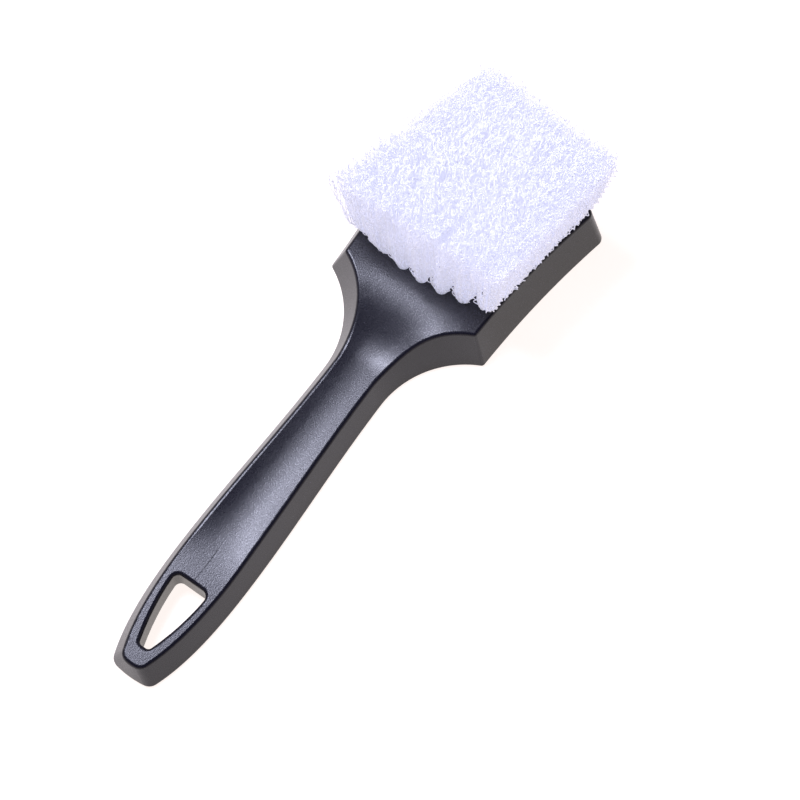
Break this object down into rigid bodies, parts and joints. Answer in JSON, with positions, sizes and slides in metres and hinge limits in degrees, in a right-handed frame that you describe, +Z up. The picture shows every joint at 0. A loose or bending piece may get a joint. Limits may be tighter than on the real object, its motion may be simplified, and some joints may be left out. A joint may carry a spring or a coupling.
{
  "type": "wheel brush",
  "caption": "Short-handled wheel and tyre brush: black moulded body with a hanging hole, S-shaped rise and rectangular head, and a dense pad of white crimped nylon tufts.",
  "frame": {"origin": "centre of the bounding box, on the flat back that the brush lies on", "axes": "+X along the handle from the hanging hole to the head, +Y across to the left seen from the handle's end, +Z up out of the bristles"},
  "size_m": [0.2497, 0.0878, 0.0577],
  "materials": {
    "body_polypropylene": "satin moulded black polypropylene, fine spark-eroded grain",
    "bristle_nylon": "translucent white crimped nylon filament",
    "anchor_wire": "flat drawn steel wire"
  },
  "bodies": {
    "root": {"handle_block": "body_polypropylene", "tuft_anchors": "anchor_wire", "tuft_r1c1": "bristle_nylon", "tuft_r1c2": "bristle_nylon", "tuft_r1c3": "bristle_nylon", "tuft_r1c4": "bristle_nylon", "tuft_r1c5": "bristle_nylon", "tuft_r1c6": "bristle_nylon", "tuft_r1c7": "bristle_nylon", "tuft_r2c1": "bristle_nylon", "tuft_r2c2": "bristle_nylon", "tuft_r2c3": "bristle_nylon", "tuft_r2c4": "bristle_nylon", "tuft_r2c5": "bristle_nylon", "tuft_r2c6": "bristle_nylon", "tuft_r2c7": "bristle_nylon", "tuft_r3c1": "bristle_nylon", "tuft_r3c2": "bristle_nylon", "tuft_r3c3": "bristle_nylon", "tuft_r3c4": "bristle_nylon", "tuft_r3c5": "bristle_nylon", "tuft_r3c6": "bristle_nylon", "tuft_r3c7": "bristle_nylon", "tuft_r4c1": "bristle_nylon", "tuft_r4c2": "bristle_nylon", "tuft_r4c3": "bristle_nylon", "tuft_r4c4": "bristle_nylon", "tuft_r4c5": "bristle_nylon", "tuft_r4c6": "bristle_nylon", "tuft_r4c7": "bristle_nylon", "tuft_r5c1": "bristle_nylon", "tuft_r5c2": "bristle_nylon", "tuft_r5c3": "bristle_nylon", "tuft_r5c4": "bristle_nylon", "tuft_r5c5": "bristle_nylon", "tuft_r5c6": "bristle_nylon", "tuft_r5c7": "bristle_nylon", "tuft_r6c1": "bristle_nylon", "tuft_r6c2": "bristle_nylon", "tuft_r6c3": "bristle_nylon", "tuft_r6c4": "bristle_nylon", "tuft_r6c5": "bristle_nylon", "tuft_r6c6": "bristle_nylon", "tuft_r6c7": "bristle_nylon", "tuft_r7c1": "bristle_nylon", "tuft_r7c2": "bristle_nylon", "tuft_r7c3": "bristle_nylon", "tuft_r7c4": "bristle_nylon", "tuft_r7c5": "bristle_nylon", "tuft_r7c6": "bristle_nylon", "tuft_r7c7": "bristle_nylon", "tuft_r8c1": "bristle_nylon", "tuft_r8c2": "bristle_nylon", "tuft_r8c3": "bristle_nylon", "tuft_r8c4": "bristle_nylon", "tuft_r8c5": "bristle_nylon", "tuft_r8c6": "bristle_nylon", "tuft_r8c7": "bristle_nylon"}
  },
  "joints": []
}
